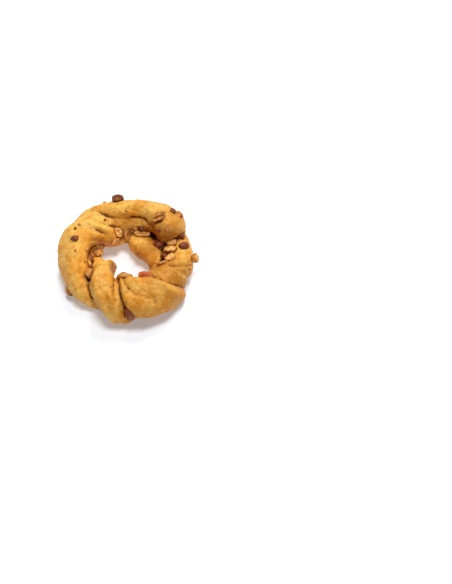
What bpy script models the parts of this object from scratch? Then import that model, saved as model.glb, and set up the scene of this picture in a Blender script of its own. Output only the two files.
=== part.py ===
"""Almond tarallo: a baked ring of two twisted dough strands, with chopped almonds pressed into it.

Units are metres, +Z is up and the ring lies flat on z = 0. Ring angles are in degrees, measured
counter-clockwise from +X as seen from above. The rope starts with a blunt end that lies on top of its
own tail, so the strands run on past a full turn. Angles round the rope are 0 outside, 90 on top and
180 inside the ring.
"""
import math
import random
from collections import namedtuple

import bmesh
import bpy
from mathutils import Matrix, Vector, noise
from mathutils.bvhtree import BVHTree

MM = 0.001
UP = Vector((0, 0, 1))

# The ring of the rope's centre line.
RING_HALF_WIDTH = 26.4 * MM
RING_HALF_DEPTH = 27.6 * MM
ROPE_HEIGHT = 10.6 * MM

# Where the strands begin and end on the ring.
ROPE_START = 19.0
LEFT_END = 452.0
RIGHT_END = 404.0
CORE_END = 425.0

# Twist: (ring angle, angle of the left strand round the rope). The right strand is opposite to it.
TWIST = ((19, 238), (75, 225), (108, 208), (127, 170), (166, 65), (211, 7), (235, -80), (246, -104),
         (255, -130), (264, -188), (278, -275), (292, -305), (308, -322), (321, -382), (333, -431),
         (348, -510), (380, -540), (452, -545))

# The rope's shifts along the ring: (ring angle, millimetres).
LIFT = ((19, 8.5), (45, 8.0), (75, 4.5), (110, 1.0), (140, 0.0), (315, 0.0), (340, -1.2), (385, -1.8),
        (452, -4.0))
OUTSET = ((19, 0.0), (36, 1.4), (50, 1.4), (66, 0.4), (90, 0.2), (112, 1.8), (131, 2.9), (147, 2.3),
          (160, 0.8), (175, -1.5), (200, -2.9), (245, -1.8), (270, 0.0), (300, 0.9), (328, 0.2), (345, 0.0),
          (452, 0.0))

# Each strand's distance from the rope's centre line, and its half sizes: (ring angle, millimetres).
LEFT_SPREAD = ((19, 2.0), (60, 2.6), (80, 5.0), (98, 6.8), (114, 7.4), (130, 8.0), (160, 7.6), (207, 6.4),
               (228, 4.8), (242, 5.4), (254, 7.4), (270, 6.2), (310, 6.4), (325, 7.6), (348, 7.6), (375, 10.8),
               (398, 12.6), (425, 12.2), (452, 9.8))
LEFT_DEPTH = ((19, 5.0), (75, 5.4), (98, 6.6), (125, 7.2), (207, 7.0), (240, 6.6), (255, 7.2), (275, 7.2),
              (300, 7.6), (340, 6.4), (370, 6.2), (398, 7.2), (425, 6.8), (452, 6.0))
LEFT_WIDTH = ((19, 6.0), (90, 6.4), (112, 6.8), (130, 9.0), (165, 10.5), (205, 9.6), (228, 7.6), (240, 7.2),
              (266, 9.5), (285, 12.0), (325, 10.0), (345, 8.6), (370, 7.2), (452, 5.6))
RIGHT_SPREAD = ((19, 3.2), (75, 4.8), (130, 6.0), (165, 7.0), (185, 9.0), (205, 9.2), (225, 8.8), (245, 8.0),
                (262, 6.4), (300, 5.6), (325, 4.6), (350, 5.4), (404, 6.2))
RIGHT_DEPTH = ((19, 6.8), (75, 6.8), (130, 6.6), (165, 7.6), (185, 8.4), (205, 8.4), (225, 8.2), (245, 7.6),
               (266, 6.6), (300, 6.0), (325, 5.8), (350, 6.4), (404, 5.8))
RIGHT_WIDTH = ((19, 9.6), (36, 10.6), (75, 9.2), (130, 9.6), (200, 8.8), (225, 8.8), (245, 10.6), (256, 10.4),
               (266, 9.4), (300, 9.4), (325, 8.0), (345, 8.0), (404, 8.4))
CORE_RADIUS = ((19, 5.5), (60, 7.5), (112, 7.6), (128, 10.6), (148, 11.2), (160, 9.0), (180, 6.0), (300, 6.5),
               (325, 9.0), (337, 10.6), (352, 7.0), (375, 5.8), (400, 6.6), (425, 6.4))
NO_SPREAD = ((ROPE_START, 0), (LEFT_END, 0))

Strand = namedtuple("Strand", "turn end spread depth width")
LEFT = Strand(0, LEFT_END, LEFT_SPREAD, LEFT_DEPTH, LEFT_WIDTH)
RIGHT = Strand(180, RIGHT_END, RIGHT_SPREAD, RIGHT_DEPTH, RIGHT_WIDTH)
CORE = Strand(0, CORE_END, NO_SPREAD, CORE_RADIUS, CORE_RADIUS)

# A strand's section is a rounded box, and its ends close over a short blunt length.
SECTION_POWER = 2.3
END_POWER = 2.4
BLUNT_END = 7.0 * MM
SECTION_SIDES = 20
STATIONS = 80
CORE_SIDES = 14
CORE_STATIONS = 56
END_CROWDING = 0.6

# Folds pressed into a strand: ring angles from and to, section angles from and to.
Fold = namedtuple("Fold", "strand ring_from ring_to section_from section_to")
FOLDS = (Fold(LEFT, 264, 308, 118, 15), Fold(RIGHT, 316, 346, 150, -25), Fold(RIGHT, 326, 356, 125, 5))
FOLD_DEPTH = 1.3 * MM
FOLD_WIDTH = 1.7 * MM

# The soft lumps of the dough: size and height.
LUMPS = ((9.0 * MM, 0.45 * MM), (4.0 * MM, 0.22 * MM))

# Chopped almonds: place on the rope, way that the face looks, turn of its length, size in millimetres.
SKIN, CUT = "skin", "cut"
Chip = namedtuple("Chip", "ring round reach facing lean spin length width thick side")
CHIPS = (
    Chip(100, 53, 14.0, 49, 0, 8, 7.6, 5.0, 4.0, SKIN),
    Chip(37.8, 107, 11.6, 125, 0, 120, 10.2, 5.4, 4.2, CUT),
    Chip(39, 56, 11.2, 56, 0, 155, 4.6, 3.6, 3.0, SKIN),
    Chip(36, 31, 11.2, 35, 0, 165, 5.4, 3.6, 3.0, SKIN),
    Chip(21.5, 92, 7.5, 90, -54, 60, 6.4, 5.2, 3.4, CUT),
    Chip(171, 79, 15.0, 79, 0, -60, 5.8, 4.6, 2.8, SKIN),
    Chip(107, 168, 10.5, 128, 0, -99, 6.4, 4.6, 3.6, CUT),
    Chip(90.4, 184, 10.9, 142, 0, 90, 9.4, 4.4, 3.8, CUT),
    Chip(120, 181, 14.4, 165, 0, 170, 6.0, 4.0, 3.2, CUT),
    Chip(420, 144, 11.5, 100, 0, 156, 10.4, 3.8, 3.4, CUT),
    Chip(384, 138, 9.5, 118, 0, 160, 7.2, 6.2, 4.0, SKIN),
    Chip(377, 84, 6.8, 92, 0, 100, 6.2, 4.4, 3.2, CUT),
    Chip(367, 98, 7.6, 95, 0, 100, 7.6, 4.2, 3.2, CUT),
    Chip(359, 125, 7.9, 110, 0, 120, 5.0, 3.8, 3.0, SKIN),
    Chip(351, 93, 9.0, 95, 0, 40, 6.8, 4.6, 3.4, CUT),
    Chip(338.3, 108, 10.7, 100, 0, 46, 8.8, 3.6, 3.2, SKIN),
    Chip(368, 52, 11.7, 70, 0, 65, 5.6, 4.8, 3.2, SKIN),
    Chip(358, 22, 13.6, 30, 0, 180, 6.0, 4.6, 4.0, CUT),
    Chip(380.5, 50, 11.6, 80, 0, 60, 4.4, 3.4, 2.8, SKIN),
    Chip(310, 136, 10.4, 100, 0, 50, 9.0, 5.2, 4.2, SKIN),
    Chip(275, 125, 13.8, 84, 0, 18, 10.0, 5.4, 4.2, SKIN),
    Chip(167, 170, 9.7, 134, 0, -139, 6.8, 4.4, 3.4, CUT),
    Chip(218, 88, 9.0, 92, 0, 62, 6.6, 5.2, 4.0, SKIN),
    Chip(209, -20, 13.3, 15, 0, 0, 7.2, 6.2, 4.6, SKIN),
    Chip(277, 12, 12.0, 16, 0, 90, 8.6, 6.0, 4.0, SKIN),
    Chip(62, 2, 12.0, 5, 0, 20, 7.0, 5.0, 3.4, SKIN),
    Chip(120, 2, 12.4, 0, 0, 70, 6.4, 4.8, 3.6, CUT),
    Chip(148, -20, 12.0, -15, 0, -30, 8.0, 5.0, 3.6, SKIN),
    Chip(92, -8, 11.8, -5, 0, 40, 6.6, 4.8, 3.4, SKIN),
    Chip(288, 184, 11.4, 180, 0, 110, 7.0, 4.6, 3.4, CUT),
)
CHIP_GAP = 0.35 * MM
CHIP_CUT_LEVEL = 0.3
CHIP_SIDES = 8
CHIP_RINGS = 6

# Small crumbs of almond, fused to the dough: the ones that stand out, and a seeded scatter.
CRUMB_SPOTS = ((112, 44, 2.6), (158, 78, 2.2), (152, 84, 1.8), (300, 42, 2.4), (243, 22, 2.8), (348, 19, 2.2),
               (24, -4, 2.4), (222, -28, 2.8), (75, 176, 3.0), (82, 170, 2.4), (64, 172, 3.6), (55, 166, 3.2),
               (184, 141, 3.4), (175, 157, 2.8), (200, 112, 3.4), (121, 113, 2.0), (25.5, 129, 2.6))
CRUMB_COUNT = 16
CRUMB_SIZE = (1.2 * MM, 2.0 * MM)
CRUMB_RING = (20, 380)
CRUMB_ROUND = (-25, 205)
CRUMB_LIFT = 0.125
CRUMB_START = 30 * MM

DOUGH_COLOUR = (0.62, 0.37, 0.13, 1)
SKIN_COLOUR = (0.16, 0.045, 0.02, 1)
FLESH_COLOUR = (0.66, 0.40, 0.18, 1)


def along(table, x):
    """Read a smooth curve through the (place, value) pairs of a table."""
    if x <= table[0][0]:
        return table[0][1]
    if x >= table[-1][0]:
        return table[-1][1]
    i = max(k for k in range(len(table) - 1) if table[k][0] <= x)
    slopes = []
    for k in (i, i + 1):
        low = table[max(k - 1, 0)]
        high = table[min(k + 1, len(table) - 1)]
        slopes.append((high[1] - low[1]) / (high[0] - low[0]))
    (x0, y0), (x1, y1) = table[i], table[i + 1]
    span = x1 - x0
    t = (x - x0) / span
    return ((2 * t**3 - 3 * t**2 + 1) * y0 + (t**3 - 2 * t**2 + t) * span * slopes[0]
            + (3 * t**2 - 2 * t**3) * y1 + (t**3 - t**2) * span * slopes[1])


def rope_frame(ring):
    """Centre of the rope at a ring angle, and the direction that points out of the ring there."""
    a = math.radians(ring)
    outward = Vector((math.cos(a), math.sin(a), 0))
    centre = Vector((RING_HALF_WIDTH * outward.x, RING_HALF_DEPTH * outward.y, ROPE_HEIGHT))
    centre += outward * along(OUTSET, ring) * MM + UP * along(LIFT, ring) * MM
    return centre, outward


def round_rope(outward, angle):
    """Direction at an angle round the rope."""
    a = math.radians(angle)
    return outward * math.cos(a) + UP * math.sin(a)


def fold_depth(strand, ring, section, reach):
    """How deep the strand's folds are at a point of its skin."""
    depth = 0
    for fold in FOLDS:
        share = (ring - fold.ring_from) / (fold.ring_to - fold.ring_from)
        if fold.strand is not strand or not 0 < share < 1:
            continue
        line = fold.section_from + (fold.section_to - fold.section_from) * share
        off = (section - line + 180) % 360 - 180
        away = math.radians(off) * reach / FOLD_WIDTH
        depth += FOLD_DEPTH * math.exp(-away**2) * math.sqrt(math.sin(math.pi * share))
    return depth


def strand_point(strand, ring, section, closing):
    """A point on a strand's skin; closing shrinks the section to shut the ends."""
    centre, outward = rope_frame(ring)
    twist = along(TWIST, ring) + strand.turn
    centre = centre + round_rope(outward, twist) * along(strand.spread, ring) * MM
    off = math.radians(section - twist)
    c = abs(math.cos(off)) / along(strand.depth, ring)
    s = abs(math.sin(off)) / along(strand.width, ring)
    reach = (c**SECTION_POWER + s**SECTION_POWER)**(-1 / SECTION_POWER) * MM
    reach -= fold_depth(strand, ring, section, reach)
    point = centre + round_rope(outward, section) * reach
    reach += sum(height * noise.noise(point / size) for size, height in LUMPS)
    return centre + round_rope(outward, section) * reach * closing


def new_object(name, bm, colour):
    """Turn a bmesh into a linked object with its own Principled material."""
    mesh = bpy.data.meshes.new(name)
    bm.to_mesh(mesh)
    bm.free()
    material = bpy.data.materials.new(name)
    material.use_nodes = True
    shader = material.node_tree.nodes["Principled BSDF"]
    shader.inputs["Base Color"].default_value = colour
    shader.inputs["Roughness"].default_value = 0.6
    shader.inputs["Metallic"].default_value = 0.0
    mesh.materials.append(material)
    mesh.shade_smooth()
    obj = bpy.data.objects.new(name, mesh)
    bpy.context.scene.collection.objects.link(obj)
    return obj


def make_strand(name, strand, sides, stations):
    """One strand of dough: a sphere drawn out along the rope, its poles at the strand's two ends."""
    bm = bmesh.new()
    bmesh.ops.create_uvsphere(bm, u_segments=sides, v_segments=stations, radius=1)
    for vert in bm.verts:
        share = math.acos(max(-1, min(1, vert.co.z))) / math.pi
        share -= END_CROWDING * math.sin(2 * math.pi * share) / (2 * math.pi)
        ring = ROPE_START + (strand.end - ROPE_START) * share
        from_end = math.radians(min(ring - ROPE_START, strand.end - ring)) * RING_HALF_DEPTH
        shy = max(0, 1 - from_end / BLUNT_END)
        closing = (1 - shy**END_POWER)**(1 / END_POWER)
        section = math.degrees(math.atan2(vert.co.y, vert.co.x))
        vert.co = strand_point(strand, ring, section, closing)
    bmesh.ops.recalc_face_normals(bm, faces=bm.faces)
    return new_object(name, bm, DOUGH_COLOUR)


def boolean(target, others, operation, solver="EXACT"):
    """Join or cut the target with every object of a list, apply it and drop the list."""
    collection = bpy.data.collections.new(operation.lower())
    bpy.context.scene.collection.children.link(collection)
    for other in others:
        bpy.context.scene.collection.objects.unlink(other)
        collection.objects.link(other)
    modifier = target.modifiers.new(operation.lower(), "BOOLEAN")
    modifier.operation = operation
    modifier.operand_type = "COLLECTION"
    modifier.collection = collection
    modifier.solver = solver
    modifier.use_self = True
    graph = bpy.context.evaluated_depsgraph_get()
    result = bpy.data.meshes.new_from_object(target.evaluated_get(graph))
    target.modifiers.clear()
    target.data = result
    for other in others:
        bpy.data.objects.remove(other, do_unlink=True)
    bpy.data.collections.remove(collection)


def make_base_cutter():
    """A block under the table level, which leaves the ring a flat base."""
    bm = bmesh.new()
    bmesh.ops.create_cube(bm, size=1)
    reach = 4 * RING_HALF_DEPTH
    bmesh.ops.scale(bm, vec=(reach, reach, ROPE_HEIGHT), verts=bm.verts)
    bmesh.ops.translate(bm, vec=-UP * ROPE_HEIGHT / 2, verts=bm.verts)
    return new_object("base_cutter", bm, DOUGH_COLOUR)


def chip_body(seed):
    """A chopped almond: the dome of its skin on +Z, a flat cut face below and broken ends."""
    draw = random.Random(seed)
    bm = bmesh.new()
    bmesh.ops.create_uvsphere(bm, u_segments=CHIP_SIDES, v_segments=CHIP_RINGS, radius=1)
    cuts = [Vector((0, draw.uniform(-0.12, 0.12), -1))]
    for side in (1, -1):
        cuts.append(Vector((side, draw.uniform(-0.5, 0.5), draw.uniform(-0.25, 0.35))))
    cuts.append(Vector((draw.uniform(-0.3, 0.3), draw.choice((-1, 1)), draw.uniform(-0.1, 0.3))))
    levels = [CHIP_CUT_LEVEL, draw.uniform(0.62, 0.85), draw.uniform(0.62, 0.85), draw.uniform(0.6, 0.85)]
    for direction, level in zip(cuts, levels):
        direction.normalize()
        geometry = bm.verts[:] + bm.edges[:] + bm.faces[:]
        bmesh.ops.bisect_plane(bm, geom=geometry, plane_co=direction * level, plane_no=direction,
                               clear_outer=True)
        rim = [edge for edge in bm.edges if edge.is_boundary]
        bmesh.ops.edgeloop_fill(bm, edges=rim)
    bmesh.ops.dissolve_degenerate(bm, edges=bm.edges, dist=0.02)
    bmesh.ops.recalc_face_normals(bm, faces=bm.faces)
    return bm


def chip_matrix(chip):
    """Place and turn of a chip, from the rope that it sits on."""
    centre, outward = rope_frame(chip.ring)
    forward = Vector((-outward.y, outward.x, 0))
    face = round_rope(outward, chip.facing)
    across = forward.cross(face)
    lean = Matrix.Rotation(math.radians(chip.lean), 3, across)
    face = lean @ face
    length = Matrix.Rotation(math.radians(-chip.spin), 3, face) @ lean @ forward
    if chip.side == CUT:
        face = -face
    turn = Matrix((length, face.cross(length), face)).transposed()
    place = centre + round_rope(outward, chip.round) * chip.reach * MM
    return Matrix.Translation(place) @ turn.to_4x4()


def make_chip(name, chip, seed, grow):
    """One almond chip at its true size, or grown on all sides to cut its pocket."""
    bm = chip_body(seed)
    low = [min(vert.co[k] for vert in bm.verts) for k in range(3)]
    high = [max(vert.co[k] for vert in bm.verts) for k in range(3)]
    middle = Vector([(low[k] + high[k]) / 2 for k in range(3)])
    size = (chip.length * MM, chip.width * MM, chip.thick * MM)
    bmesh.ops.translate(bm, vec=-middle, verts=bm.verts)
    bmesh.ops.scale(bm, vec=[(size[k] + 2 * grow) / (high[k] - low[k]) for k in range(3)], verts=bm.verts)
    bmesh.ops.transform(bm, matrix=chip_matrix(chip), verts=bm.verts)
    return new_object(name, bm, SKIN_COLOUR if chip.side == SKIN else FLESH_COLOUR)


def make_crumb(name, place, normal, size, turn):
    """A crumb: a small squashed ball, half sunk in the dough."""
    bm = bmesh.new()
    bmesh.ops.create_icosphere(bm, subdivisions=1, radius=0.5)
    bmesh.ops.scale(bm, vec=(size, size * 0.75, size * 0.7), verts=bm.verts)
    bmesh.ops.rotate(bm, matrix=Matrix.Rotation(turn, 3, "Z"), verts=bm.verts)
    bmesh.ops.rotate(bm, matrix=normal.to_track_quat("Z", "Y").to_matrix(), verts=bm.verts)
    bmesh.ops.translate(bm, vec=place + normal * size * CRUMB_LIFT, verts=bm.verts)
    return new_object(name, bm, FLESH_COLOUR)


def make_crumbs(dough, taken):
    """Crumbs on the dough's skin, at the named spots and at seeded places clear of the chips."""
    tree = BVHTree.FromObject(dough, bpy.context.evaluated_depsgraph_get())
    draw = random.Random(11)
    spots = [(ring, angle, size * MM) for ring, angle, size in CRUMB_SPOTS]
    spots += [(draw.uniform(*CRUMB_RING), draw.uniform(*CRUMB_ROUND), draw.uniform(*CRUMB_SIZE))
              for _ in range(CRUMB_COUNT)]
    crumbs = []
    for ring, angle, size in spots:
        centre, outward = rope_frame(ring)
        direction = round_rope(outward, angle)
        start = centre + direction * CRUMB_START
        place, normal, _, _ = tree.ray_cast(start, -direction)
        turn = draw.uniform(0, math.pi)
        if place is None or place.z < 2 * size:
            continue
        if any((place - spot).length < size + reach for spot, reach in taken):
            continue
        taken.append((place, size))
        crumbs.append(make_crumb("crumb", place, normal, size, turn))
    return crumbs


def drop_scraps(dough):
    """Keep the dough's largest body as triangles, without loose scraps that the cuts may leave."""
    bm = bmesh.new()
    bm.from_mesh(dough.data)
    left = set(bm.verts)
    bodies = []
    while left:
        body = {left.pop()}
        edge_of_body = list(body)
        while edge_of_body:
            vert = edge_of_body.pop()
            for edge in vert.link_edges:
                other = edge.other_vert(vert)
                if other in left:
                    left.remove(other)
                    body.add(other)
                    edge_of_body.append(other)
        bodies.append(body)
    bodies.sort(key=len)
    for body in bodies[:-1]:
        bmesh.ops.delete(bm, geom=list(body), context="VERTS")
    bmesh.ops.triangulate(bm, faces=bm.faces)
    doubled = [edge for edge in bm.edges if len(edge.link_faces) > 2]
    bmesh.ops.collapse(bm, edges=doubled)
    loose = [edge for edge in bm.edges if not edge.link_faces]
    bmesh.ops.delete(bm, geom=loose, context="EDGES")
    bm.to_mesh(dough.data)
    bm.free()


def centre_on_origin():
    """Shift everything so that the origin lies under the middle of the whole ring."""
    places = [vert.co for obj in bpy.data.objects for vert in obj.data.vertices]
    for k in (0, 1):
        shift = Vector((0, 0, 0))
        shift[k] = -(min(place[k] for place in places) + max(place[k] for place in places)) / 2
        for obj in bpy.data.objects:
            obj.data.transform(Matrix.Translation(shift))


def main():
    """Build the dough, its fused crumbs and the almond chips in their pockets."""
    for obj in list(bpy.data.objects):
        bpy.data.objects.remove(obj, do_unlink=True)
    dough = make_strand("dough", LEFT, SECTION_SIDES, STATIONS)
    right = make_strand("right_strand", RIGHT, SECTION_SIDES, STATIONS)
    core = make_strand("core", CORE, CORE_SIDES, CORE_STATIONS)
    boolean(dough, [right, core], "UNION")
    boolean(dough, [make_base_cutter()], "DIFFERENCE")
    taken = [(chip_matrix(chip).translation, chip.length * MM / 2) for chip in CHIPS]
    boolean(dough, make_crumbs(dough, taken), "UNION", "MANIFOLD")
    pockets = [make_chip("pocket", chip, seed, CHIP_GAP) for seed, chip in enumerate(CHIPS)]
    boolean(dough, pockets, "DIFFERENCE", "MANIFOLD")
    drop_scraps(dough)
    for seed, chip in enumerate(CHIPS):
        make_chip(f"almond_{seed + 1:02d}", chip, seed, 0)
    centre_on_origin()


main()
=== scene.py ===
"""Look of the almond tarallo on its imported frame.

A ring of short dough, twisted by hand from two strands, with its blunt end laid over its own tail, baked
golden and set with chopped toasted almonds. Metres, +Z up. Ring angles are in degrees, counter-clockwise
from +X as seen from above; angles round the rope are 0 outside, 90 on top and 180 inside the ring.
"""
import logging
import math
import random
from dataclasses import dataclass
from enum import Enum

import bmesh
import bpy
import numpy as np
from mathutils import Matrix, Vector, noise
from mathutils.bvhtree import BVHTree


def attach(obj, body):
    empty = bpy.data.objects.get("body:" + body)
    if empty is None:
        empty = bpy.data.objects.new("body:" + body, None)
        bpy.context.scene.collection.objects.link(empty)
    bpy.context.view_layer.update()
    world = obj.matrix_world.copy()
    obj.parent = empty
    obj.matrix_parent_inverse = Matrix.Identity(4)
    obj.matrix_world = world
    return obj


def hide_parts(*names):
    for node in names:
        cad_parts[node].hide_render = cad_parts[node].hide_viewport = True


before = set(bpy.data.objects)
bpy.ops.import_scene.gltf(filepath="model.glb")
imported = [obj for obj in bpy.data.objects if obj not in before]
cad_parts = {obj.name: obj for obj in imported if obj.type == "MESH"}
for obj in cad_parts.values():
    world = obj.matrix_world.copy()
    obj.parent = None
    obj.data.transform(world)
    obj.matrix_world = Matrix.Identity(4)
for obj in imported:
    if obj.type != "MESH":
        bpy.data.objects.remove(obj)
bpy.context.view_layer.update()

LOG = logging.getLogger("almond_tarallo")
MM = 0.001
UP = Vector((0, 0, 1))
GOLDEN_ANGLE = 137.5
Span = tuple[float, float]
Table = tuple[Span, ...]
Tree = bpy.types.NodeTree
Socket = bpy.types.NodeSocket
Ink = str | Socket

# How far part.py moves the ring so that its box is centred on the origin.
RING_SHIFT = Vector((-1.37799 * MM, 0.15925 * MM, 0))


# ---------------------------------------- tools

def srgb(code: str) -> tuple[float, float, float, float]:
    """Turn an sRGB hex colour into a linear colour.

    Args:
        code: The colour, such as "#D9A066".

    Returns:
        Linear red, green and blue, and an alpha of 1.
    """
    parts = [int(code[k:k + 2], 16) / 255 for k in (1, 3, 5)]
    return tuple(v / 12.92 if v <= 0.04045 else ((v + 0.055) / 1.055) ** 2.4 for v in parts) + (1.0,)


def add_node(tree: Tree, kind: str, settings: dict | None = None,
             links: dict | None = None) -> bpy.types.Node:
    """Add a shader node.

    Args:
        tree: The material's node tree.
        kind: The node's type name, without its "ShaderNode" start.
        settings: Values by property name, or by input name or number.
        links: Sockets that feed the node, by input name or number.

    Returns:
        The new node.
    """
    node = tree.nodes.new("ShaderNode" + kind)
    for key, value in (settings or {}).items():
        if isinstance(key, str) and hasattr(node, key):
            setattr(node, key, value)
        else:
            node.inputs[key].default_value = value
    for key, socket in (links or {}).items():
        tree.links.new(socket, node.inputs[key])
    return node


def attribute(tree: Tree, name: str) -> Socket:
    """Read a number that the mesh stores at each vertex."""
    return add_node(tree, "Attribute", {"attribute_name": name}).outputs["Fac"]


def soft_noise(tree: Tree, place: Socket, scale: float, **settings: float) -> Socket:
    """Make a noise pattern at some coordinates, with scale lumps to each of their units."""
    return add_node(tree, "TexNoise", {"Scale": scale, **settings}, {"Vector": place}).outputs[0]


def ramp(tree: Tree, value: Socket, limits: Span, ends: Span = (0.0, 1.0)) -> Socket:
    """Stretch a value from between two limits to between two ends, held level beyond them."""
    settings = {"From Min": limits[0], "From Max": limits[1], "To Min": ends[0], "To Max": ends[1]}
    return add_node(tree, "MapRange", settings, {0: value}).outputs[0]


def blend(tree: Tree, share: Socket, under: Ink, over: Ink) -> Socket:
    """Lay a share of one colour over another, each of them a hex code or a socket."""
    colour_a, colour_b, mixed = 6, 7, 2
    inks = {colour_a: under, colour_b: over}
    codes = {number: srgb(ink) for number, ink in inks.items() if isinstance(ink, str)}
    links = {number: ink for number, ink in inks.items() if not isinstance(ink, str)}
    return add_node(tree, "Mix", {"data_type": "RGBA", **codes}, {0: share, **links}).outputs[mixed]


def bump(tree: Tree, height: Socket, strength: float, depth: float, under: Socket | None = None) -> Socket:
    """Press a pattern into the surface to a depth in metres, over the normals of an earlier bump."""
    links = {"Height": height} if under is None else {"Height": height, "Normal": under}
    return add_node(tree, "Bump", {"Strength": strength, "Distance": depth}, links).outputs[0]


def new_material(name: str) -> tuple[bpy.types.Material, Tree, bpy.types.Node]:
    """Start a material, and give it with its node tree and its shader."""
    material = bpy.data.materials.new(name)
    material.use_nodes = True
    return material, material.node_tree, material.node_tree.nodes["Principled BSDF"]


def set_inputs(node: bpy.types.Node, values: dict) -> None:
    """Set some of a node's even values by name."""
    for name, value in values.items():
        node.inputs[name].default_value = value


def along(table: Table, x: np.ndarray) -> np.ndarray:
    """Read a smooth curve through the (place, value) pairs of a table.

    Args:
        table: The pairs, in rising order of place.
        x: The places to read.

    Returns:
        The values there, held level past the table's ends.
    """
    places, values = np.array(table, dtype=float).T
    step = np.arange(len(places))
    low, high = np.maximum(step - 1, 0), np.minimum(step + 1, len(places) - 1)
    slopes = (values[high] - values[low]) / (places[high] - places[low])
    x = np.clip(np.asarray(x, dtype=float), places[0], places[-1])
    i = np.clip(np.searchsorted(places, x, side="right") - 1, 0, len(places) - 2)
    span = places[i + 1] - places[i]
    t = (x - places[i]) / span
    return ((2 * t**3 - 3 * t**2 + 1) * values[i] + (t**3 - 2 * t**2 + t) * span * slopes[i]
            + (3 * t**2 - 2 * t**3) * values[i + 1] + (t**3 - t**2) * span * slopes[i + 1])


def field(points: np.ndarray, size: float, seed: float = 0.0) -> np.ndarray:
    """Read soft noise at some points.

    Args:
        points: The points, in metres.
        size: The size of the noise's lumps, in metres.
        seed: A shift that gives another pattern.

    Returns:
        One value for each point, about -1 to 1.
    """
    shifted = points / size + seed
    return np.array([noise.noise(point) for point in shifted.tolist()])


def smooth_step(low: float, high: float, x: np.ndarray) -> np.ndarray:
    """Rise softly from 0 at low to 1 at high."""
    t = np.clip((x - low) / (high - low), 0, 1)
    return t * t * (3 - 2 * t)


def read_rows(items: bpy.types.bpy_prop_collection, name: str) -> np.ndarray:
    """Read one vector of each item, as the rows of an array."""
    flat = np.empty(len(items) * 3, dtype=np.float32)
    items.foreach_get(name, flat)
    return flat.reshape(-1, 3).astype(float)


def read_points(mesh: bpy.types.Mesh) -> np.ndarray:
    """Read a mesh's vertices as an array."""
    return read_rows(mesh.vertices, "co")


def read_normals(mesh: bpy.types.Mesh) -> np.ndarray:
    """Read a mesh's vertex normals as an array."""
    return read_rows(mesh.vertex_normals, "vector")


def write_points(mesh: bpy.types.Mesh, points: np.ndarray) -> None:
    """Write an array over a mesh's vertices."""
    mesh.vertices.foreach_set("co", points.astype(np.float32).ravel())
    mesh.update()


def write_layer(mesh: bpy.types.Mesh, name: str, values: np.ndarray) -> None:
    """Store one number or one vector for each vertex.

    Args:
        mesh: The mesh.
        name: The attribute's name, which a material reads.
        values: The numbers, or a row for each vector.
    """
    kind, key = ("FLOAT", "value") if values.ndim == 1 else ("FLOAT_VECTOR", "vector")
    layer = mesh.attributes.new(name, kind, "POINT")
    layer.data.foreach_set(key, values.astype(np.float32).ravel())


def link_mesh(name: str, bm: bmesh.types.BMesh) -> bpy.types.Object:
    """Turn a bmesh into a smooth object at the origin.

    Args:
        name: The object's name.
        bm: The bmesh, which is freed.

    Returns:
        The linked object.
    """
    mesh = bpy.data.meshes.new(name)
    bm.to_mesh(mesh)
    bm.free()
    mesh.shade_smooth()
    obj = bpy.data.objects.new(name, mesh)
    bpy.context.scene.collection.objects.link(obj)
    return obj


def remesh(obj: bpy.types.Object, voxel: float) -> None:
    """Melt an object's overlapping bodies into one skin of small squares, each a voxel wide."""
    modifier = obj.modifiers.new("melt", "REMESH")
    modifier.mode = "VOXEL"
    modifier.voxel_size = voxel
    modifier.use_smooth_shade = True
    graph = bpy.context.evaluated_depsgraph_get()
    skin = bpy.data.meshes.new_from_object(obj.evaluated_get(graph))
    obj.modifiers.clear()
    obj.data = skin


def relax(mesh: bpy.types.Mesh, points: np.ndarray, rounds: int, pull: float = 0.5) -> np.ndarray:
    """Average points with their neighbours along a mesh's edges.

    Args:
        mesh: The mesh whose edges are followed.
        points: One row for each vertex.
        rounds: How many times to average.
        pull: The share moved towards the neighbours in each round.

    Returns:
        The averaged rows.
    """
    ends = np.empty(len(mesh.edges) * 2, dtype=np.int32)
    mesh.edges.foreach_get("vertices", ends)
    a, b = ends.reshape(-1, 2).T
    count = len(points)
    degree = np.bincount(a, minlength=count) + np.bincount(b, minlength=count)
    for _ in range(rounds):
        total = np.stack([np.bincount(a, weights=points[b, k], minlength=count)
                          + np.bincount(b, weights=points[a, k], minlength=count)
                          for k in range(points.shape[1])], axis=1)
        points = points + (total / degree[:, None] - points) * pull
    return points


# ---------------------------------------- finishes

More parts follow.
